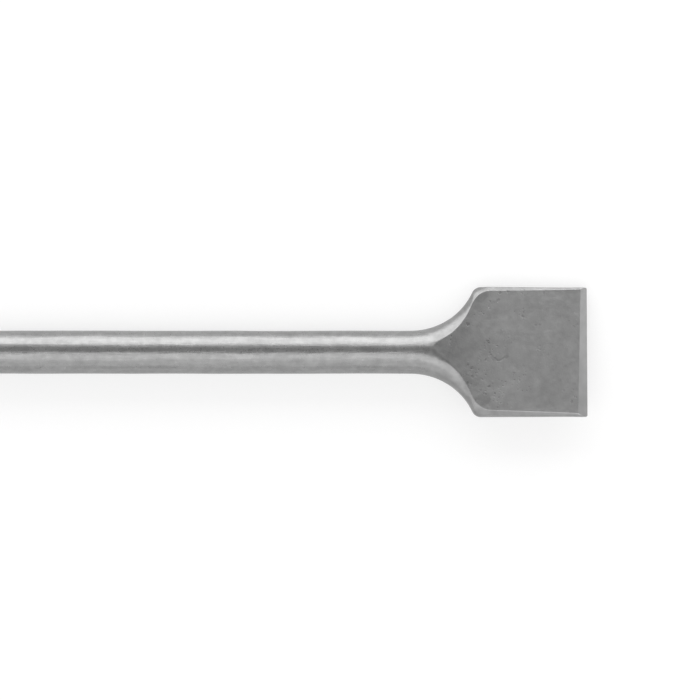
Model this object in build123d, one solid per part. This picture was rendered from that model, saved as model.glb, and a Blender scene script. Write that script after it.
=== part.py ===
from build123d import *
from math import acos, asin, atan2, cos, degrees, hypot, pi, radians, sin, sqrt, tan
import os

# A spade chisel for a rotary hammer: one steel forging, 250 mm long with a 40 mm blade.
# Millimetres. The tool lies along X, from the struck end at X = 0 to the cutting edge.
# It is drawn with Z square to the blade's faces and Y across the blade. It is then rolled
# about X until it lies as it comes to rest, on its shaft and one corner of the blade.

# Overall sizes
overall_length = 250.0
blade_width = 40.0
shaft_diameter = 13.2

# Shank that the hammer's chuck takes
shank_diameter = 10.0
shank_length = 52.0
strike_chamfer = 1.0
cone_length = 5.5
cone_blend_radius = 4.0
drive_slot_width = 2.7
drive_slot_depth = 1.9
drive_slot_length = 35.0
drive_slot_runout_radius = 9.0
ball_groove_radius = 3.5
ball_groove_depth = 1.6
ball_groove_start = 9.0
ball_groove_end = 25.0

# The turned surface closes on a line between a slot and a groove
seam_angle = 130.0

# Outline of the blade and its shoulders, seen from above
blade_straight_length = 32.3
shoulder_radius = 2.8
shoulder_angle = 65.0
tip_corner_radius = 0.4
flash_trim = 0.15
flash_trim_clearance = 0.25

# Side view of the blade: two wide faces that taper to a ground edge
face_taper = 3.4
ground_length = 2.4
ground_root_thickness = 3.0
edge_thickness = 0.5
neck_radius = 100.0
neck_blend_length = 27.0

# Rounded flanks of the forging, beside the flat faces
crown_margin = 0.7
crown_blend = 2.2
blade_squareness = 13.0
squaring_start = 43.5
squaring_end = 29.5
flare_sections = 14
section_crowding = 0.45
flank_spans = 24

# Places along each section's outline where its length and turning are measured
outline_samples = 240

# Room that the cutting shapes need around the steel
cut_clearance = 2.0

# Places along each shoulder, from a radius before its end to a radius after it, where the
# blade is tried against the floor
touch_places = 20

shank_radius = shank_diameter / 2
shaft_radius = shaft_diameter / 2
half_blade = blade_width / 2
taper = radians(face_taper)
turn = radians(shoulder_angle)
shoulder_end = overall_length - blade_straight_length


class Shoulder:
    """Plan outline on one side: a hollow arc off the shaft, then a round shoulder."""

    def __init__(self, root, reach, radius):
        self.root = root
        self.reach = reach
        self.radius = radius
        self.hollow = (reach - root) / (1 - cos(turn)) - radius
        self.start = shoulder_end - (self.hollow + radius) * sin(turn)
        self.joint = shoulder_end - radius * sin(turn)

    def half_width(self, x):
        if x <= self.start:
            return self.root
        if x <= self.joint:
            return self.root + self.hollow - sqrt(self.hollow**2 - (x - self.start) ** 2)
        if x < shoulder_end:
            return self.reach - self.radius + sqrt(self.radius**2 - (shoulder_end - x) ** 2)
        return self.reach

    def arcs(self, side):
        """The two arcs, from the shaft to the blade; side is +1 or -1."""
        corner = self.reach - self.radius * (1 - cos(turn))
        hollow_half = self.half_width(self.start + self.hollow * sin(turn / 2))
        round_half = self.reach - self.radius * (1 - cos(turn / 2))
        hollow_arc = ThreePointArc(
            (self.start, side * self.root),
            (self.start + self.hollow * sin(turn / 2), side * hollow_half),
            (self.joint, side * corner),
        )
        round_arc = ThreePointArc(
            (self.joint, side * corner),
            (shoulder_end - self.radius * sin(turn / 2), side * round_half),
            (shoulder_end, side * self.reach),
        )
        return hollow_arc, round_arc


# The forging swells past the outline by the flash, which is then trimmed off.
forged = Shoulder(shaft_radius, half_blade + flash_trim, shoulder_radius + flash_trim)
trimmed = Shoulder(shaft_radius + flash_trim_clearance, half_blade, shoulder_radius)

# The flat face runs straight from the ground edge to where the neck starts to rise.
ground_start = overall_length - ground_length
neck_start = overall_length - neck_blend_length
neck_start_height = ground_root_thickness / 2 + (ground_start - neck_start) * tan(taper)
neck_centre_x = neck_start + neck_radius * sin(taper)
neck_centre_z = neck_start_height + neck_radius * cos(taper)


def face_height(x):
    """Height of the upper flat face above the middle plane, up along the neck's arc."""
    if x >= neck_start:
        return neck_start_height - (x - neck_start) * tan(taper)
    return neck_centre_z - sqrt(neck_radius**2 - (neck_centre_x - x) ** 2)


def smooth_least(first, second, blend):
    """The smaller of two heights, rounded off where they cross."""
    overlap = max(blend - abs(first - second), 0) / blend
    return min(first, second) - overlap**2 * blend / 4


def crown_height(x):
    """Half height of the forging's round section, a little above the flat face."""
    if x <= forged.start:
        return shaft_radius
    return smooth_least(shaft_radius, face_height(x) + crown_margin, crown_blend)


def squareness(x):
    """Exponent of the section's outline: 2 is an ellipse, more is a rounded slab."""
    begin = overall_length - squaring_start
    end = overall_length - squaring_end
    share = min(max((x - begin) / (end - begin), 0), 1)
    eased = share * share * (3 - 2 * share)
    return 2 / (1 + (2 / blade_squareness - 1) * eased)


def outline_point(x, angle):
    """Y and Z on the half outline at x; the angle runs from straight down to straight up."""
    reach = forged.half_width(x) * max(cos(angle), 0) ** (2 / squareness(x))
    return reach, crown_height(x) * sin(angle)


def spread_angles(x):
    """Angles of the points that carry the outline, closer together where it turns sharply.

    From point to point, the outline's share of its own length and its share of the
    half circle that it turns through add up to the same sum.
    """
    shares = [index / outline_samples - 0.5 for index in range(outline_samples + 1)]
    points = [outline_point(x, pi * share) for share in shares]
    steps = [(b[0] - a[0], b[1] - a[1]) for a, b in zip(points, points[1:])]
    length = sum(hypot(*step) for step in steps)
    spent = [0.0]
    heading = 0.0
    for across, up in steps:
        turned = atan2(up, across)
        spent.append(spent[-1] + hypot(across, up) / length + (turned - heading) / pi)
        heading = turned
    angles = []
    place = 0
    for index in range(1, flank_spans):
        target = spent[-1] * index / flank_spans
        while spent[place + 1] < target:
            place += 1
        share = (target - spent[place]) / (spent[place + 1] - spent[place])
        angles.append(pi * ((place + share) / outline_samples - 0.5))
    return angles


def forging_section(x):
    """Half outline of the forging square to the axis: round the flank, then down Y = 0."""
    flank = [(x, 0, -crown_height(x))]
    flank += [(x, *outline_point(x, angle)) for angle in spread_angles(x)]
    flank.append((x, 0, crown_height(x)))
    level = [(0, 1, 0), (0, -1, 0)]
    even = [index / flank_spans for index in range(flank_spans + 1)]
    curve = Edge.make_spline(flank, tangents=level, parameters=even)
    return Wire([curve, Line(flank[-1], flank[0])])


def touching_roll(x):
    """Degrees of roll at which the wide face's lower edge at x meets the shaft's floor."""
    height = face_height(x)
    lean = asin(height / crown_height(x))
    edge = forged.half_width(x) * cos(lean) ** (2 / squareness(x))
    return degrees(asin(shaft_radius / hypot(edge, height)) - atan2(height, edge))


def rest_roll():
    """The least roll that brings a corner of the blade down to the floor."""
    first = shoulder_end - shoulder_radius
    step = 2 * shoulder_radius / touch_places
    return min(touching_roll(first + step * index) for index in range(touch_places + 1))


def shank_and_shaft():
    """Turned part: chamfered struck end, shank, cone and the plain round shaft."""
    cone_end = shank_length + cone_length
    profile = Polyline(
        (0, 0),
        (0, shank_radius - strike_chamfer),
        (strike_chamfer, shank_radius),
        (shank_length, shank_radius),
        (cone_end, shaft_radius),
        (forged.start, shaft_radius),
        (forged.start, 0),
        close=True,
    )
    face = make_face(profile)
    corners = [v for v in face.vertices() if v.X in (shank_length, cone_end)]
    face = fillet(corners, cone_blend_radius)
    return Rot(seam_angle, 0, 0) * revolve(face, Axis.X)


def drive_slot():
    """One open slot along the shank's side, with the round run-out of its cutter."""
    floor = shank_radius - drive_slot_depth
    runout = sqrt(2 * drive_slot_runout_radius * drive_slot_depth - drive_slot_depth**2)
    lip_x = drive_slot_length
    flat_end = lip_x - runout
    outside = shank_radius + cut_clearance
    half_runout = asin(runout / drive_slot_runout_radius) / 2
    middle = (
        flat_end + drive_slot_runout_radius * sin(half_runout),
        floor + drive_slot_runout_radius * (1 - cos(half_runout)),
    )
    side_view = Wire(
        [
            Line((-cut_clearance, floor), (flat_end, floor)),
            ThreePointArc((flat_end, floor), middle, (lip_x, shank_radius)),
            Line((lip_x, shank_radius), (lip_x, outside)),
            Line((lip_x, outside), (-cut_clearance, outside)),
            Line((-cut_clearance, outside), (-cut_clearance, floor)),
        ]
    )
    return extrude(Face(side_view), drive_slot_width / 2, both=True)


def ball_groove():
    """One closed groove for the chuck's locking ball, round in section and at its ends."""
    height = shank_radius - ball_groove_depth + ball_groove_radius
    reach = sqrt(ball_groove_radius**2 - (height - shank_radius) ** 2)
    first = ball_groove_start + reach
    last = ball_groove_end - reach
    track = Pos((first + last) / 2, 0, height) * Rot(0, 90, 0)
    groove = track * Cylinder(ball_groove_radius, last - first)
    for place in (first, last):
        groove += Pos(place, 0, height) * Sphere(ball_groove_radius)
    return groove


def forging():
    """Half the forging: a flare lofted from round to slab, then the tapering blade."""
    flare_end = overall_length - squaring_end
    length = flare_end - forged.start
    low = (forged.start, 0, -shaft_radius)
    side = (forged.start, shaft_radius, 0)
    high = (forged.start, 0, shaft_radius)
    sections = [Wire([ThreePointArc(low, side, high), Line(high, low)])]
    for index in range(flare_sections):
        share = (index + 1) / flare_sections
        crowded = share + section_crowding * share * (1 - share)
        sections.append(forging_section(forged.start + length * crowded))
    flare = Solid.make_loft(sections)
    tip = forging_section(overall_length + cut_clearance)
    return flare.fuse(Solid.make_loft([sections[-1], tip], ruled=True))


def side_profile():
    """Prism of the side view: neck arcs, flat tapering faces and the ground edge."""
    top = shaft_radius + cut_clearance
    rise = acos(cos(taper) - (top - neck_start_height) / neck_radius) - taper
    arc_end = (neck_centre_x - neck_radius * sin(taper + rise), top)
    arc_middle = (
        neck_centre_x - neck_radius * sin(taper + rise / 2),
        neck_centre_z - neck_radius * cos(taper + rise / 2),
    )
    neck = (neck_start, neck_start_height)
    ground = (ground_start, ground_root_thickness / 2)
    edge = (overall_length, edge_thickness / 2)
    back = min(arc_end[0], forged.start) - cut_clearance
    upper = [
        Line((back, 0), (back, top)),
        Line((back, top), arc_end),
        ThreePointArc(arc_end, arc_middle, neck),
        Line(neck, ground),
        Line(ground, edge),
        Line(edge, (overall_length, 0)),
    ]
    half = Plane.XZ * make_face(upper + [Line((overall_length, 0), (back, 0))])
    whole = half + mirror(half, Plane.XY)
    return extrude(whole, half_blade + cut_clearance, both=True)


def trim_outline():
    """Prism of the plan view: trimmed shoulders, straight sides and the tip."""
    wide = half_blade + cut_clearance
    back = forged.start - cut_clearance
    edges = []
    for side in (1, -1):
        start = (trimmed.start, side * trimmed.root)
        corner = (overall_length - tip_corner_radius, side * half_blade)
        diagonal = tip_corner_radius * (1 - cos(pi / 4))
        edges += [
            Line((back, 0), (back, start[1])),
            Line((back, start[1]), start),
            *trimmed.arcs(side),
            Line((shoulder_end, side * half_blade), corner),
            ThreePointArc(
                corner,
                (overall_length - diagonal, side * (half_blade - diagonal)),
                (overall_length, side * (half_blade - tip_corner_radius)),
            ),
            Line((overall_length, side * (half_blade - tip_corner_radius)), (overall_length, 0)),
        ]
    return extrude(Face(Wire(edges)), wide, both=True)


half_blade_solid = forging() & side_profile() & trim_outline()
blade = half_blade_solid.fuse(mirror(half_blade_solid, Plane.XZ))
chisel = shank_and_shaft().fuse(blade)
for side in (0, 180):
    chisel -= Rot(side, 0, 0) * drive_slot()
    chisel -= Rot(side, 0, 0) * ball_groove()
chisel = Rot(-rest_roll(), 0, 0) * chisel

os.makedirs("parts", exist_ok=True)
export_step(chisel, "parts/chisel.step")
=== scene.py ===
from math import asin, atan2, cos, pi, radians, sin, sqrt, tan

import bmesh
import bpy
import numpy as np
from mathutils import Matrix, Vector, noise


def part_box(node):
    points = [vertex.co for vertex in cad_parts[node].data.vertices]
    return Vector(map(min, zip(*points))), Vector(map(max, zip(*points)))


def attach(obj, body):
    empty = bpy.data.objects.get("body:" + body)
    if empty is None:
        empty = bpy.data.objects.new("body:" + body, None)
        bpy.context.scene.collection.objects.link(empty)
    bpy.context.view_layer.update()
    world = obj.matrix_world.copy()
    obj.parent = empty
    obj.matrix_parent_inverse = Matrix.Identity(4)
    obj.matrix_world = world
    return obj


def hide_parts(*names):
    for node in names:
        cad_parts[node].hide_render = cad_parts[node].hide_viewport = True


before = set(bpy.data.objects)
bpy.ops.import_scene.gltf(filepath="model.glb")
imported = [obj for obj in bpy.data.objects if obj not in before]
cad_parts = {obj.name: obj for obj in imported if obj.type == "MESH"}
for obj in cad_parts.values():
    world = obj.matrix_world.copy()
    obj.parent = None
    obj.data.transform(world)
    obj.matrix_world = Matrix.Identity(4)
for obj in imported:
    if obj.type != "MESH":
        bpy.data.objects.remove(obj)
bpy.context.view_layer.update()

# The steel is worked out in millimetres, unrolled, with the tool along X and Z square to
# its faces. It is then rolled to how it lies and scaled to metres.
MM = 0.001
low_corner, high_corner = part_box("chisel")
overall_length = (high_corner.x - low_corner.x) / MM
floor_level = low_corner.z

# Overall sizes, as in the solid
blade_width = 40.0
shaft_diameter = 13.2
shank_diameter = 10.0
shank_length = 52.0
strike_chamfer = 1.0
cone_length = 5.5
cone_blend_radius = 4.0
drive_slot_width = 2.7
drive_slot_depth = 1.9
drive_slot_length = 35.0
drive_slot_runout_radius = 9.0
ball_groove_radius = 3.5
ball_groove_depth = 1.6
ball_groove_start = 9.0
ball_groove_end = 25.0
blade_straight_length = 32.3
shoulder_radius = 2.8
shoulder_angle = 65.0
tip_corner_radius = 0.4
flash_trim = 0.15
flash_trim_clearance = 0.25
face_taper = 3.4
ground_length = 2.4
ground_root_thickness = 3.0
edge_thickness = 0.5
neck_radius = 100.0
neck_blend_length = 27.0
crown_margin = 0.7
crown_blend = 2.2
blade_squareness = 13.0
squaring_start = 43.5
squaring_end = 29.5
rest_roll = 10.67

# Edges: the far side is worn crisp, except near the tip of the face's V, and the near side soft
crisp_edge = 0.16
apex_edge = 1.1
apex_end = 208.0
soft_edge = 1.3
shoulder_edge = 0.4
shoulder_edge_start = 203.0
shoulder_edge_end = 209.0
blade_edge = 0.3
blade_edge_lead = 4.0
blade_edge_run = 2.0
rim_edge = 0.25
struck_edge_wear = 0.07
slot_wall = 0.006
groove_rim_blend = 0.12

# The near side of the neck stands a little higher than the far side
neck_lift = 0.018
lift_rise = (198.0, 204.0)
lift_fall = (206.0, 216.0)
lift_width = 6.0

# Finish that the solid leaves out: flatter flanks, a lip along the face and an uneven ground edge
far_flank_slope = 31.0
near_flank_slope = 49.0
flat_flank_reach = 3.0
flank_wear = 0.13
edge_lip = 0.02
edge_lip_reach = 0.55
bevel_slant = 0.024
bevel_slant_reach = 2.4

# Waves of the forging: their heights and sizes, and how far they take to start and to stop
shaft_wave = 0.1
blade_wave = 0.045
wave_length = 16.0
wave_width = 8.0
ripple = 0.012
ripple_length = 5.0
ripple_depth = 3.0
ripple_shift = 40.0
wave_top = 0.7
wave_rise = 8.0
wave_fall = 3.0
sharp_angle = 34.0

# Where the shaft's skin goes over to the blade's, and where the painted shade on the neck eases out
blade_skin = (196.0, 214.0)
blade_sheen = (200.0, 220.0)
painted_neck_span = (206.0, 226.0)

# Greys of the steel and its roughness, what the painted shade on the neck adds or takes away, and
# what each mark adds or takes away
steel_shades = (0.305, 0.355)
bevel_shades = (0.45, 0.5)
shank_shades = (0.42, 0.5)
# Painted shade along the neck, for the flanks and then the faces: its value at the neck, then towards
# the blade
flank_painted_neck_shades = (-0.02, 0.0)
face_painted_neck_shades = (-0.05, 0.028)
blotch_shade = 0.018
streak_shade = 0.016
fleck_shade = 0.05
pit_shade = 0.12
# Painted shade on the dent's rim
dent_rim_painted_shade = 0.065
# Painted shade in the shoulder corners and along the far edge of the face
painted_shade_depth = 0.05
speck_shade = 0.05
forged_roughness = (0.3, 0.38)
bevel_roughness = (0.28, 0.4)
shank_roughness = (0.24, 0.36)
grain_roughness = 0.03
pit_roughness = 0.1

# Heights of the marks' relief
blotch_height = 0.05
fine_height = 0.01
streak_height = 0.008
pit_height = 0.025
speck_height = 0.015
dent_height = 0.03
line_height = 0.004
ring_height = 0.006

# Waves of noise that bend a spot out of line, to its cell, and a mark, to the metre
spot_bend = 2.5
mark_bend = 600

# Light, where 1 is white
lamp_distance = 1.3
lamp_length = 2.4
lamp_middle = 0.2
room_level = 0.35
seen_glow = 0.61
mirrored_glow = 0.49
floor_colour = 0.4
floor_reach = 3.0

# Cells round a quarter of the section: wide face, its edge, flank, rim of the land, land
face_cells = 30
edge_cells = 6
flank_cells = 10
rim_cells = 8
land_cells = 4
face_crowding = 1.5
rim_crowding = 2.5
outline_samples = 60

# Least half widths of the face and the land, where the columns have no edge to follow
shank_face = 3.2
shaft_face = 1.6
shaft_land = 0.5

# Most that the land takes of the height over the flank's start, and a worn edge of the flank
most_land = 0.7
most_edge = 0.4

# Stations nearer to a place than this lie at it
station_slack = 0.01

shank_radius = shank_diameter / 2
shaft_radius = shaft_diameter / 2
half_blade = blade_width / 2
taper = radians(face_taper)
turn = radians(shoulder_angle)
shoulder_end = overall_length - blade_straight_length
ground_start = overall_length - ground_length
neck_start = overall_length - neck_blend_length
neck_start_height = ground_root_thickness / 2 + (ground_start - neck_start) * tan(taper)
neck_centre_x = neck_start + neck_radius * sin(taper)
neck_centre_z = neck_start_height + neck_radius * cos(taper)
cone_end = shank_length + cone_length
roll = radians(rest_roll)
across_blade = (0, cos(roll), -sin(roll))
over_blade = (0, sin(roll), cos(roll))


def eased(value, low, high):
    """0 below low, 1 above high, and a smooth step between."""
    share = np.clip((value - low) / (high - low), 0, 1)
    return share * share * (3 - 2 * share)


def smooth_least(first, second, blend):
    """The smaller of two values, rounded off where they cross."""
    overlap = np.maximum(blend - np.abs(first - second), 0) / blend
    return np.minimum(first, second) - overlap**2 * blend / 4


class Shoulder:
    """Plan outline on one side: a hollow arc off the shaft, then a round shoulder."""

    def __init__(self, root, reach, radius):
        self.root = root
        self.reach = reach
        self.radius = radius
        self.hollow = (reach - root) / (1 - cos(turn)) - radius
        self.start = shoulder_end - (self.hollow + radius) * sin(turn)
        self.joint = shoulder_end - radius * sin(turn)

    def half_width(self, x):
        if x <= self.start:
            return self.root
        if x <= self.joint:
            return self.root + self.hollow - sqrt(self.hollow**2 - (x - self.start) ** 2)
        if x < shoulder_end:
            return self.reach - self.radius + sqrt(self.radius**2 - (shoulder_end - x) ** 2)
        return self.reach


forged = Shoulder(shaft_radius, half_blade + flash_trim, shoulder_radius + flash_trim)
trimmed = Shoulder(shaft_radius + flash_trim_clearance, half_blade, shoulder_radius)


def round_radius(x):
    """Radius of the turned part: chamfer, shank, blended cone and shaft."""
    if x < strike_chamfer:
        worn = struck_edge_wear * (1 - eased(x, 0, 2 * struck_edge_wear))
        return shank_radius - strike_chamfer + x - worn
    slope = (shaft_radius - shank_radius) / cone_length
    reach = cone_blend_radius * tan(atan2(slope, 1) / 2)
    if abs(x - shank_length) < reach:
        return shank_radius + slope * (x - shank_length + reach) ** 2 / (4 * reach)
    if abs(x - cone_end) < reach:
        return shaft_radius - slope * (cone_end + reach - x) ** 2 / (4 * reach)
    return shank_radius + slope * min(max(x - shank_length, 0), cone_length)


def face_height(x):
    """Height of the wide face over the middle plane: ground edge, flat, then the neck."""
    if x > ground_start:
        share = (x - ground_start) / ground_length
        return ground_root_thickness / 2 * (1 - share) + edge_thickness / 2 * share
    if x >= neck_start:
        return neck_start_height - (x - neck_start) * tan(taper)
    reach = min(neck_centre_x - x, neck_radius)
    return neck_centre_z - sqrt(neck_radius**2 - reach**2)


def crown_height(x):
    """Half height of the forging's round section, a little above the flat face."""
    if x <= forged.start:
        return round_radius(x)
    unground = neck_start_height - (x - neck_start) * tan(taper)
    face = unground if x >= neck_start else face_height(x)
    return float(smooth_least(shaft_radius, face + crown_margin, crown_blend))


def squareness(x):
    """Exponent of the section's outline: 2 is an ellipse, more is a rounded slab."""
    eased_share = eased(x, overall_length - squaring_start, overall_length - squaring_end)
    return 2 / (1 + (2 / blade_squareness - 1) * eased_share)


def trim_width(x):
    """Half width that the trimmed outline leaves, with the tip's rounded corners."""
    if x < trimmed.start:
        return blade_width
    over = max(x - (overall_length - tip_corner_radius), 0)
    corner = tip_corner_radius - sqrt(tip_corner_radius**2 - min(over, tip_corner_radius) ** 2)
    return trimmed.half_width(x) - corner


def flank_flatness(x):
    """0 at the neck and 1 along the blade, where the flanks are plain slopes."""
    return float(eased(x, shoulder_end - flat_flank_reach, shoulder_end + flat_flank_reach))


def quarter_path(x, flank_slope):
    """Outline from the middle of a wide face to the middle of a flank, y and z over 0.

    Its stretches, face, flank and land, have outline_samples points each.
    """
    is_round = x <= forged.start
    half = round_radius(x) if is_round else forged.half_width(x)
    crown = crown_height(x)
    power = 2 / squareness(x)
    face = blade_width if is_round else face_height(x)
    flatness = flank_flatness(x)
    trim = trim_width(x) - flank_wear * flatness
    lean = asin(min(face / crown, 1))
    # On the shank the columns gather at the groove and the slot, and on the shaft they spread
    past_shank = eased(x, shank_length, neck_start - neck_blend_length)
    least_face = shank_face + (shaft_face - shank_face) * past_shank
    half_slot = drive_slot_width / 2
    least_land = half_slot + (shaft_land - half_slot) * eased(x, cone_end, forged.start)
    if min(half * cos(lean) ** power, trim) < least_face:
        lean = asin(sqrt(1 - (least_face / half) ** (2 / power)))
    land = 0
    if trim < half:
        land = crown * sqrt(1 - (trim / half) ** (2 / power))
    land = min(max(land, least_land), most_land * crown * sin(lean))
    steps = np.linspace(0, 1, outline_samples)
    angles = lean + (asin(land / crown) - lean) * steps
    flank = np.stack([half * np.cos(angles) ** power, crown * np.sin(angles)], 1)
    flank = np.minimum(flank, (trim, face))
    # Along the blade the flank is a plain slope down to a taller land
    slope_foot = flank[0, 1] - (trim - flank[0, 0]) * tan(radians(flank_slope))
    slope = flank[0] + ((trim, max(slope_foot, land)) - flank[0]) * steps[:, None]
    flank += (slope - flank) * flatness
    land = flank[-1, 1]
    across = flank[0, 0] * steps
    over = np.minimum(crown * np.sqrt(1 - (across / half) ** (2 / power)), face)
    down = land * (1 - steps)
    out = np.minimum(half * (1 - (down / crown) ** 2) ** (power / 2), trim)
    out += (flank[-1, 0] - out) * flatness
    return np.concatenate([np.stack([across, over], 1), flank[1:], np.stack([out, down], 1)[1:]])


def column_places(edge, edge_reach, rim, rim_reach, end):
    """How far round the quarter the columns lie, crowded at the face's edge and at the rim."""
    face_steps = np.linspace(0, 1, face_cells + 1)
    edge_steps = np.linspace(-1, 1, edge_cells + 1)
    rim_steps = np.linspace(-1, 1, rim_cells + 1)
    rim_steps = np.sign(rim_steps) * np.abs(rim_steps) ** rim_crowding
    return np.concatenate(
        [
            (edge - edge_reach) * (1 - (1 - face_steps[:-1]) ** face_crowding),
            edge + edge_reach * edge_steps[:-1],
            np.linspace(edge + edge_reach, rim - rim_reach, flank_cells + 1)[:-1],
            rim + rim_reach * rim_steps[:-1],
            np.linspace(rim + rim_reach, end, land_cells + 1),
        ]
    )


def quarter(x, edge_reach, flank_slope):
    """Points of the mesh on the outline's quarter, with its edges worn round."""
    path = quarter_path(x, flank_slope)
    run = np.concatenate([[0], np.cumsum(np.hypot(*np.diff(path, axis=0).T))])
    edge = run[outline_samples - 1]
    rim = run[2 * outline_samples - 2]
    edge_reach = min(edge_reach, most_edge * (rim - edge))
    rim_reach = min(rim_edge, most_edge * (rim - edge), most_edge * (run[-1] - rim))
    places = column_places(edge, edge_reach, rim, rim_reach, run[-1])

    def at(place):
        return np.stack([np.interp(place, run, path[:, 0]), np.interp(place, run, path[:, 1])], -1)

    points = at(places)
    if x > forged.start:
        worn = eased(x, forged.start, overall_length - squaring_start)
        for middle, reach in ((edge, edge_reach), (rim, rim_reach)):
            near = np.abs(places - middle) < reach
            share = ((places[near] - middle) / reach + 1)[:, None] / 2
            curve = (1 - share) ** 2 * at(middle - reach)
            curve = curve + 2 * share * (1 - share) * at(middle) + share**2 * at(middle + reach)
            points[near] += (curve - points[near]) * worn
        lip = edge_lip * np.exp(-(((places - edge) / edge_lip_reach) ** 2))
        points[:, 1] += lip * flank_flatness(x)
    return points


def cut_shank(x, ring):
    """Two open drive slots at the sides and two closed ball grooves at top and bottom."""
    side, up = np.abs(ring[:, 0]), np.abs(ring[:, 1])
    floor = shank_radius - drive_slot_depth
    runout = sqrt(2 * drive_slot_runout_radius * drive_slot_depth - drive_slot_depth**2)
    past = min(max(x - (drive_slot_length - runout), 0), runout)
    floor += drive_slot_runout_radius - sqrt(drive_slot_runout_radius**2 - past**2)
    half_slot = drive_slot_width / 2
    outside = eased(up, half_slot - slot_wall, half_slot + slot_wall)
    slotted = (side > shank_radius / 2) & (x < drive_slot_length)
    side = np.where(slotted, np.minimum(side, floor + (shank_radius - floor) * outside), side)
    height = shank_radius - ball_groove_depth + ball_groove_radius
    reach = sqrt(ball_groove_radius**2 - (height - shank_radius) ** 2)
    along = max(ball_groove_start + reach - x, x - ball_groove_end + reach, 0)
    depth = ball_groove_radius**2 - side**2 - along**2
    groove = np.where(depth > 0, height - np.sqrt(np.maximum(depth, 0)), 2 * shank_radius)
    up = np.where(up > shank_radius / 2, smooth_least(up, groove, groove_rim_blend), up)
    return np.stack([np.sign(ring[:, 0]) * side, np.sign(ring[:, 1]) * up], 1)


def section(x):
    """Closed ring of points at x: top, +Y flank, underside, -Y flank."""
    near_apex = 1 - eased(x, forged.start, apex_end)
    crisp_side = quarter(x, crisp_edge + (apex_edge - crisp_edge) * near_apex, far_flank_slope)
    past_neck = eased(x, shoulder_edge_start, shoulder_edge_end)
    past_shoulder = eased(x, shoulder_end - blade_edge_lead, shoulder_end + blade_edge_run)
    soft = soft_edge + (shoulder_edge - soft_edge) * past_neck
    soft += (blade_edge - shoulder_edge) * past_shoulder
    soft_side = quarter(x, soft, near_flank_slope)
    lift = neck_lift * eased(x, *lift_rise) * (1 - eased(x, *lift_fall))
    soft_side[:, 1] *= 1 + lift * eased(soft_side[:, 0], 0, lift_width)
    ring = np.concatenate(
        [
            crisp_side,
            (crisp_side * (1, -1))[::-1][1:],
            (soft_side * (-1, -1))[1:],
            (soft_side * (-1, 1))[::-1][1:-1],
        ]
    )
    if x < shank_length:
        ring = cut_shank(x, ring)
    return ring


# Where the stations lie along the tool: start, end and cells of each stretch
stretches = (
    (0, 2 * struck_edge_wear, 3),
    (2 * struck_edge_wear, strike_chamfer, 3),
    (strike_chamfer, ball_groove_start - 0.5, 10),
    (ball_groove_start - 0.5, ball_groove_end + 0.5, 68),
    (ball_groove_end + 0.5, 29, 6),
    (29, drive_slot_length + 0.5, 26),
    (drive_slot_length + 0.5, shank_length - 1, 14),
    (shank_length - 1, cone_end + 1.5, 24),
    (cone_end + 1.5, 194, 70),
    (194, 200, 16),
    (200, 222, 92),
    (222, ground_start - 0.6, 62),
    (ground_start - 0.6, ground_start, 4),
    (ground_start, overall_length, 18),
)


def stations():
    places = [0.0]
    for start, end, cells in stretches:
        places += [start + (end - start) * (step + 1) / cells for step in range(cells)]
    return places


def forging_swell(point):
    """Waves of the forging: how far the skin lies off its true form, and nearly always inward."""
    long_wave = Vector((point[0] / wave_length, point[1] / wave_width, point[2] / wave_width))
    short_wave = Vector((point[0] / ripple_length, point[1] / ripple_length,
                         point[2] / ripple_depth + ripple_shift))
    past_neck = float(eased(point[0], forged.start, shoulder_end))
    broad = shaft_wave + (blade_wave - shaft_wave) * past_neck
    return broad * (noise.noise(long_wave) - wave_top) + ripple * (noise.noise(short_wave) - wave_top)


def build_chisel():
    places = stations()
    rings = []
    for x in places:
        ring = section(x)
        column = np.full(len(ring), x)
        falloff = max(1 - abs(x - ground_start) / bevel_slant_reach, 0)
        column = column + bevel_slant * ring[:, 0] * falloff
        rings.append(np.column_stack([column, ring]))
    count = len(rings[0])
    points = np.concatenate(rings)
    faces = []
    for row in range(len(places) - 1):
        base = row * count
        for step in range(count):
            after = (step + 1) % count
            faces.append((base + step, base + after, base + count + after, base + count + step))
    for base in (0, (len(places) - 1) * count):
        for step in range(count // 4):
            for first, second in (
                (step, step + 1),
                ((count - step) % count, (count - step - 1) % count),
            ):
                mirror = [(count // 2 - index) % count for index in (first, second)]
                corners = [first, second, mirror[1], mirror[0]]
                loop = [base + corner for index, corner in enumerate(corners)
                        if corner != corners[index - 1]]
                faces.append(tuple(loop))
    mesh = bpy.data.meshes.new("forged_chisel")
    mesh.from_pydata([Vector(point) for point in points], [], faces)
    rows = np.repeat(np.array(places), count)
    return mesh, rows, count


def finish_mesh(mesh):
    """Outward normals, forging waves, then the roll and the scale."""
    work = bmesh.new()
    work.from_mesh(mesh)
    bmesh.ops.recalc_face_normals(work, faces=work.faces)
    work.normal_update()
    for vertex in work.verts:
        x = vertex.co.x
        if cone_end < x < ground_start:
            strength = eased(x, cone_end, cone_end + wave_rise)
            strength *= 1 - eased(x, ground_start - wave_fall, ground_start)
            vertex.co += vertex.normal * forging_swell(vertex.co) * float(strength)
    rolled = Matrix.Rotation(-roll, 4, "X")
    bmesh.ops.transform(work, matrix=Matrix.Scale(MM, 4) @ rolled, verts=work.verts)
    work.to_mesh(mesh)
    work.free()
    mesh.polygons.foreach_set("use_smooth", [True] * len(mesh.polygons))
    mesh.set_sharp_from_angle(angle=radians(sharp_angle))


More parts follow.
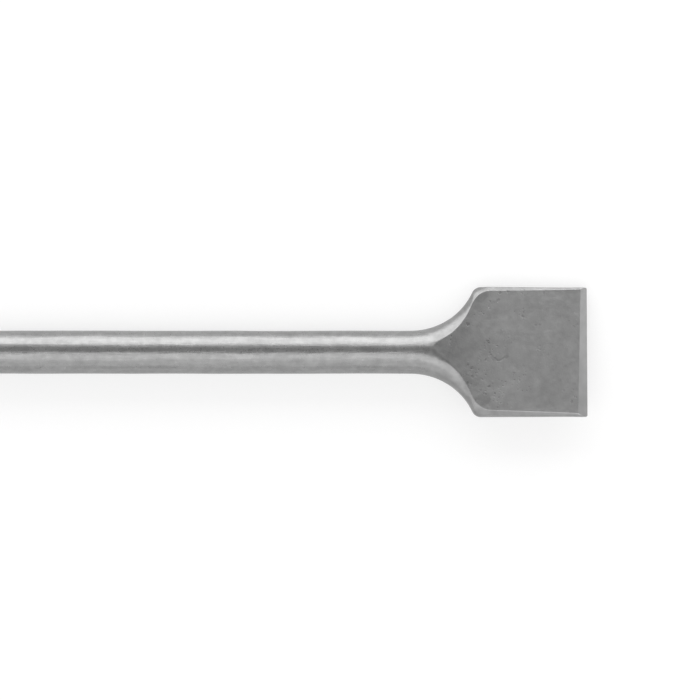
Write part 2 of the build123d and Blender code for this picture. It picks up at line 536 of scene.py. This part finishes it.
class Nodes:
    """Short calls for building one material's node tree."""

    def __init__(self, name):
        self.material = bpy.data.materials.new(name)
        self.material.use_nodes = True
        self.tree = self.material.node_tree
        self.tree.nodes.clear()
        self.place = self.add("ShaderNodeTexCoord").outputs["Object"]

    def add(self, kind, **settings):
        node = self.tree.nodes.new(kind)
        for name, value in settings.items():
            setattr(node, name, value)
        return node

    def link(self, source, target):
        self.tree.links.new(source, target)

    def scaled(self, per_metre, stretch, shift, wobble=0.0):
        """The place in the material's own cells; wobble bends the cells out of line."""
        mapping = self.add("ShaderNodeMapping")
        mapping.inputs["Scale"].default_value = [per_metre * share for share in stretch]
        mapping.inputs["Location"].default_value = (shift, shift / 2, -shift)
        self.link(self.place, mapping.inputs["Vector"])
        if not wobble:
            return mapping.outputs["Vector"]
        bend = self.add("ShaderNodeTexNoise")
        bend.inputs["Scale"].default_value = spot_bend
        self.link(mapping.outputs["Vector"], bend.inputs["Vector"])
        bent = self.add("ShaderNodeVectorMath", operation="MULTIPLY_ADD")
        self.link(bend.outputs["Color"], bent.inputs[0])
        bent.inputs[1].default_value = (wobble, wobble, wobble)
        self.link(mapping.outputs["Vector"], bent.inputs[2])
        return bent.outputs["Vector"]

    def noise(self, per_metre, stretch=(1, 1, 1), detail=2.0, shift=0.0, roughness=0.5):
        """Noise between about 0.2 and 0.8, with per_metre waves to the metre."""
        texture = self.add("ShaderNodeTexNoise")
        texture.inputs["Scale"].default_value = 1
        texture.inputs["Detail"].default_value = detail
        texture.inputs["Roughness"].default_value = roughness
        self.link(self.scaled(per_metre, stretch, shift), texture.inputs["Vector"])
        return texture.outputs["Fac"]

    def spots(self, per_metre, stretch=(1, 1, 1), shift=0.0, wobble=0.0):
        """Distance to scattered points, in cells."""
        texture = self.add("ShaderNodeTexVoronoi")
        texture.inputs["Scale"].default_value = 1
        self.link(self.scaled(per_metre, stretch, shift, wobble), texture.inputs["Vector"])
        return texture.outputs["Distance"]

    def mark(self, centre, reach, wobble):
        """Distance from a place on the upper face, 1 at the mark's rim and bent a little.

        The underside is far off, so the mark doesn't show through on it.
        """
        away = self.add("ShaderNodeVectorMath", operation="SUBTRACT")
        self.link(self.place, away.inputs[0])
        away.inputs[1].default_value = (centre[0] * MM, centre[1] * MM, 0)
        flat = self.add("ShaderNodeVectorMath", operation="MULTIPLY")
        self.link(away.outputs["Vector"], flat.inputs[0])
        flat.inputs[1].default_value = (1 / (reach[0] * MM), 1 / (reach[1] * MM), 0)
        length = self.add("ShaderNodeVectorMath", operation="LENGTH")
        self.link(flat.outputs["Vector"], length.inputs[0])
        bend = self.spread(self.noise(mark_bend, shift=centre[0]), -wobble, wobble)
        far_off = self.step(over_blade, 0.0, -0.5, 0.0, 9.0)
        return self.plus(self.plus(length.outputs["Value"], bend), far_off)

    def step(self, direction, start, end, at_start=0.0, at_end=1.0):
        """A smooth step in that direction, from start to end in millimetres."""
        node = self.add("ShaderNodeVectorMath", operation="DOT_PRODUCT")
        self.link(self.place, node.inputs[0])
        node.inputs[1].default_value = direction
        return self.ramp(node.outputs["Value"], start * MM, end * MM, at_start, at_end)

    def along(self, start, end, at_start=0.0, at_end=1.0):
        return self.step((1, 0, 0), start, end, at_start, at_end)

    def ramp(self, value, low, high, to_low=0.0, to_high=1.0):
        """value from low to high becomes to_low to to_high, smooth and clamped."""
        node = self.add("ShaderNodeMapRange", interpolation_type="SMOOTHSTEP")
        self.link(value, node.inputs["Value"])
        for name, setting in (("From Min", low), ("From Max", high),
                              ("To Min", to_low), ("To Max", to_high)):
            node.inputs[name].default_value = setting
        return node.outputs["Result"]

    def spread(self, value, to_low, to_high):
        """Noise, most of which lies between 0.3 and 0.7, spread from to_low to to_high."""
        return self.ramp(value, 0.3, 0.7, to_low, to_high)

    def dots(self, distance, core, rim):
        """1 up to the core's distance and 0 past the rim's."""
        return self.ramp(distance, core, rim, 1.0, 0.0)

    def math(self, operation, first, second=0.0):
        node = self.add("ShaderNodeMath", operation=operation)
        for socket, value in zip(node.inputs, (first, second)):
            if isinstance(value, (int, float)):
                socket.default_value = value
            else:
                self.link(value, socket)
        return node.outputs["Value"]

    def plus(self, first, second):
        return self.math("ADD", first, second)

    def minus(self, first, second):
        return self.math("SUBTRACT", first, second)

    def times(self, first, second):
        return self.math("MULTIPLY", first, second)

    def bump(self, shape, height, below=None):
        """Normal of a relief that is height millimetres high, over the normal below."""
        node = self.add("ShaderNodeBump")
        node.inputs["Distance"].default_value = height * MM
        node.inputs["Strength"].default_value = 1.0
        self.link(shape, node.inputs["Height"])
        if below is not None:
            self.link(below, node.inputs["Normal"])
        return node.outputs["Normal"]

    def grey(self, value):
        node = self.add("ShaderNodeCombineColor")
        for name in ("Red", "Green", "Blue"):
            self.link(value, node.inputs[name])
        return node.outputs["Color"]

    def metal(self, colour, roughness, normal):
        shader = self.add("ShaderNodeBsdfPrincipled")
        shader.inputs["Metallic"].default_value = 1.0
        self.link(self.grey(colour), shader.inputs["Base Color"])
        self.link(roughness, shader.inputs["Roughness"])
        self.link(normal, shader.inputs["Normal"])
        output = self.add("ShaderNodeOutputMaterial")
        self.link(shader.outputs["BSDF"], output.inputs["Surface"])
        return self.material


def blasted_steel(nodes, painted_shade_at_neck, painted_shade_at_blade):
    """Colour, roughness and normal of the forging, streaked on the shaft, blotched on the blade, with
    painted shade along the neck.
    """
    blade = nodes.along(*blade_skin)
    shaft = nodes.minus(1.0, blade)
    blotch = nodes.noise(170, detail=3.0, shift=9.0, roughness=0.6)
    cloud = nodes.noise(480, detail=3.0)
    fine = nodes.noise(1900, shift=3.0)
    streak = nodes.noise(900, stretch=(0.1, 1, 1), shift=7.0)
    streak = nodes.times(nodes.spread(streak, -1.0, 1.0), shaft)
    flecks = nodes.dots(nodes.spots(500, stretch=(0.5, 1, 1), shift=35.0, wobble=0.4), 0.06, 0.2)
    flecks = nodes.times(flecks, nodes.ramp(nodes.noise(90, shift=31.0), 0.54, 0.6))
    flecks = nodes.times(flecks, shaft)

    colour = nodes.ramp(cloud, 0.25, 0.75, *steel_shades)
    colour = nodes.plus(colour, nodes.spread(blotch, -blotch_shade, blotch_shade))
    colour = nodes.plus(colour, nodes.times(streak, streak_shade))
    # Painted shade: darker on the neck, easing out towards the blade
    neck = nodes.along(*painted_neck_span, painted_shade_at_neck, painted_shade_at_blade)
    colour = nodes.plus(colour, nodes.times(blade, neck))
    colour = nodes.plus(colour, nodes.times(flecks, fleck_shade))
    grain = nodes.spread(fine, -grain_roughness, grain_roughness)
    roughness = nodes.plus(grain, nodes.along(*blade_sheen, *forged_roughness))

    # The clouds are half as high on the shaft
    cloud = nodes.times(cloud, nodes.along(*blade_skin, 0.5, 1.0))
    normal = nodes.bump(blotch, blotch_height)
    normal = nodes.bump(cloud, blotch_height, normal)
    normal = nodes.bump(nodes.times(fine, blade), fine_height, normal)
    normal = nodes.bump(streak, streak_height, normal)
    return colour, roughness, normal


def forged_skin():
    """The shaft, the neck and the flanks."""
    nodes = Nodes("forged_skin")
    return nodes.metal(*blasted_steel(nodes, *flank_painted_neck_shades))


def forged_face():
    """The wide faces of the blade, with pits, light specks, a dent whose rim has painted shade, and
    painted shade in the shoulder corners and along the far edge.
    """
    nodes = Nodes("forged_face")
    colour, roughness, normal = blasted_steel(nodes, *face_painted_neck_shades)
    blade = nodes.along(*blade_skin)

    # Pits crowd near the shoulders and thin out towards the cutting edge
    crowd = nodes.noise(140, detail=1.0, shift=11.0)
    crowd = nodes.minus(crowd, nodes.along(224, 236, 0.0, 0.1))
    large = nodes.dots(nodes.spots(420, shift=5.0, wobble=0.5), 0.12, 0.26)
    large = nodes.times(large, nodes.ramp(crowd, 0.46, 0.56))
    small = nodes.dots(nodes.spots(900, shift=15.0, wobble=0.5), 0.12, 0.32)
    small = nodes.times(small, nodes.ramp(crowd, 0.48, 0.6))
    pits = nodes.times(nodes.math("MAXIMUM", large, small), blade)
    specks = nodes.dots(nodes.spots(700, shift=25.0, wobble=0.4), 0.08, 0.2)
    specks = nodes.times(specks, nodes.ramp(nodes.noise(200, shift=21.0), 0.56, 0.64))
    specks = nodes.times(specks, blade)

    # One shallow round dent in relief, whose rim gets painted shade, dark on the near side and
    # fainter towards the shank
    dent = nodes.mark((223.0, 1.6), (3.0, 4.2), 0.12)
    rim = nodes.dots(nodes.math("ABSOLUTE", nodes.minus(dent, 1.0)), 0.0, 0.2)
    near_side = nodes.step((0, 1, 0), 0.0, -2.0, 0.25, 1.0)
    shank_side = nodes.along(221.4, 220.2, 0.0, 0.4)
    rim = nodes.times(rim, nodes.math("MAXIMUM", near_side, shank_side))

    # Painted shade in the two corners at the shoulders, and a band of painted shade along the far
    # edge
    near_corner_painted_shade = nodes.dots(nodes.mark((218.6, -13.9), (2.6, 2.0), 0.4), 0.5, 1.1)
    far_corner_painted_shade = nodes.dots(nodes.mark((218.2, 17.0), (2.0, 1.6), 0.4), 0.5, 1.1)
    # The band named scale is painted shade along the far edge of the face, not forging scale
    scale = nodes.step(across_blade, 18.4, 19.1)
    scale = nodes.times(scale, nodes.along(216, 220))
    scale = nodes.times(scale, nodes.along(228, 242, 1.0, 0.3))
    painted_shades = nodes.math("MAXIMUM", nodes.math("MAXIMUM", near_corner_painted_shade, far_corner_painted_shade), scale)

    colour = nodes.minus(colour, nodes.times(pits, pit_shade))
    # Painted shade darkens the dent's rim, the shoulder corners and the far edge
    colour = nodes.minus(colour, nodes.times(rim, dent_rim_painted_shade))
    colour = nodes.minus(colour, nodes.times(painted_shades, painted_shade_depth))
    colour = nodes.plus(colour, nodes.times(specks, speck_shade))
    roughness = nodes.plus(roughness, nodes.times(pits, pit_roughness))
    normal = nodes.bump(nodes.minus(1.0, pits), pit_height, normal)
    normal = nodes.bump(specks, speck_height, normal)
    normal = nodes.bump(nodes.minus(1.0, rim), dent_height, normal)
    return nodes.metal(colour, roughness, normal)


def ground_bevel():
    """The ground cutting bevel: fine lines along the edge."""
    nodes = Nodes("ground_bevel")
    line = nodes.noise(9000, stretch=(1, 0.02, 1))
    patch = nodes.noise(300, shift=2.0)
    colour = nodes.spread(patch, *bevel_shades)
    roughness = nodes.spread(line, *bevel_roughness)
    return nodes.metal(colour, roughness, nodes.bump(line, line_height))


def machined_shank():
    """The turned shank: brighter, with fine rings round it."""
    nodes = Nodes("machined_shank")
    ring = nodes.noise(7000, stretch=(1, 0.03, 0.03))
    patch = nodes.noise(200, detail=3.0, shift=4.0)
    colour = nodes.spread(patch, *shank_shades)
    roughness = nodes.spread(ring, *shank_roughness)
    return nodes.metal(colour, roughness, nodes.bump(ring, ring_height))


def make_chisel():
    mesh, rows, count = build_chisel()
    finish_mesh(mesh)
    materials = (forged_skin(), ground_bevel(), machined_shank(), forged_face())
    skin_slot, bevel_slot, shank_slot, face_slot = range(len(materials))
    for material in materials:
        mesh.materials.append(material)
    side_faces = (len(rows) // count - 1) * count
    slots = np.full(len(mesh.polygons), skin_slot, dtype=np.int32)
    columns = np.arange(side_faces) % count
    starts = rows[np.arange(side_faces)]
    round_half = columns % (count // 2)
    from_middle = np.minimum(round_half, count // 2 - 1 - round_half)
    on_face = from_middle < face_cells + edge_cells
    sides = slots[:side_faces]
    sides[(starts > forged.start) & on_face] = face_slot
    sides[(starts > ground_start - station_slack) & on_face] = bevel_slot
    sides[starts < shank_length - station_slack] = shank_slot
    cap_faces = (len(slots) - side_faces) // 2
    slots[side_faces:side_faces + cap_faces] = shank_slot
    slots[side_faces + cap_faces:] = bevel_slot
    mesh.polygons.foreach_set("material_index", slots)
    mesh.update()
    chisel = bpy.data.objects.new("forged_chisel", mesh)
    bpy.context.scene.collection.objects.link(chisel)
    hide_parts("chisel")
    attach(chisel, "root")


def stage_floor():
    """Pale floor that keeps a soft shadow and reads white in the picture and in the steel."""
    mesh = bpy.data.meshes.new("floor")
    corners = [(x * floor_reach, y * floor_reach, floor_level)
               for x, y in ((-1, -1), (1, -1), (1, 1), (-1, 1))]
    mesh.from_pydata(corners, [], [(0, 1, 2, 3)])
    floor = bpy.data.objects.new("floor", mesh)
    bpy.context.scene.collection.objects.link(floor)
    material = bpy.data.materials.new("floor")
    material.use_nodes = True
    tree = material.node_tree
    tree.nodes.clear()
    matte = tree.nodes.new("ShaderNodeBsdfDiffuse")
    matte.inputs["Color"].default_value = (floor_colour, floor_colour, floor_colour, 1)
    glow = tree.nodes.new("ShaderNodeEmission")
    rays = tree.nodes.new("ShaderNodeLightPath")
    total = None
    for kind, level in (("Is Camera Ray", seen_glow), ("Is Glossy Ray", mirrored_glow),
                        ("Is Transmission Ray", mirrored_glow)):
        share = tree.nodes.new("ShaderNodeMath")
        share.operation = "MULTIPLY_ADD"
        tree.links.new(rays.outputs[kind], share.inputs[0])
        share.inputs[1].default_value = level
        share.inputs[2].default_value = 0
        if total is not None:
            tree.links.new(total, share.inputs[2])
        total = share.outputs[0]
    tree.links.new(total, glow.inputs["Strength"])
    both = tree.nodes.new("ShaderNodeAddShader")
    output = tree.nodes.new("ShaderNodeOutputMaterial")
    tree.links.new(matte.outputs[0], both.inputs[0])
    tree.links.new(glow.outputs[0], both.inputs[1])
    tree.links.new(both.outputs[0], output.inputs["Surface"])
    mesh.materials.append(material)


def softbox(name, first, last, level, toward_end=False):
    """A flat lamp that fills the angles from first to last, in degrees from straight up.

    They lean towards +Y, or towards the cutting edge; level is its brightness, 1 for white.
    """
    lean = radians((first + last) / 2)
    width = 2 * lamp_distance * tan(radians(last - first) / 2)
    lamp = bpy.data.lights.new(name, "AREA")
    lamp.shape = "RECTANGLE"
    lamp.size, lamp.size_y = (width, lamp_length) if toward_end else (lamp_length, width)
    lamp.energy = level * pi * lamp_length * width
    holder = bpy.data.objects.new(name, lamp)
    bpy.context.scene.collection.objects.link(holder)
    away = Vector((sin(lean), 0, cos(lean))) if toward_end else Vector((0, sin(lean), cos(lean)))
    holder.location = Vector((lamp_middle, 0, 0)) + away * lamp_distance
    holder.rotation_euler = (0, lean, 0) if toward_end else (-lean, 0, 0)
    holder.visible_camera = False


def stage_light():
    """A dim room and six softboxes, with the dark of the camera's place left between them."""
    world = bpy.data.worlds.new("world")
    bpy.context.scene.world = world
    world.use_nodes = True
    world.node_tree.nodes["Background"].inputs["Color"].default_value = (1, 1, 1, 1)
    world.node_tree.nodes["Background"].inputs["Strength"].default_value = room_level
    softbox("near_low", -86, -41, 0.69)
    softbox("near_high", -41, -4, 1.14)
    softbox("far_high", 26, 41, 0.22)
    softbox("far_side", 41, 90, 1.9)
    softbox("edge_end", 56, 79, 0.54, toward_end=True)
    softbox("shank_end", -86, -49, 0.82, toward_end=True)


def stage_camera():
    """Looks down on the tool as the photograph does, leaning a little towards the near side."""
    camera = bpy.data.cameras.new("camera")
    camera.lens = 400
    camera.sensor_width = 36
    seen_width = 0.2124
    distance = seen_width * camera.lens / camera.sensor_width
    elevation = radians(89.3)
    target = Vector((0.17806, 0.00067, 0))
    holder = bpy.data.objects.new("camera", camera)
    bpy.context.scene.collection.objects.link(holder)
    offset = Vector((0, -cos(elevation), sin(elevation))) * distance
    holder.location = target + offset
    holder.rotation_euler = (pi / 2 - elevation, 0, 0)
    camera.clip_start = 0.1
    bpy.context.scene.camera = holder


make_chisel()
stage_floor()
stage_light()
stage_camera()
bpy.context.scene.view_settings.view_transform = "Standard"
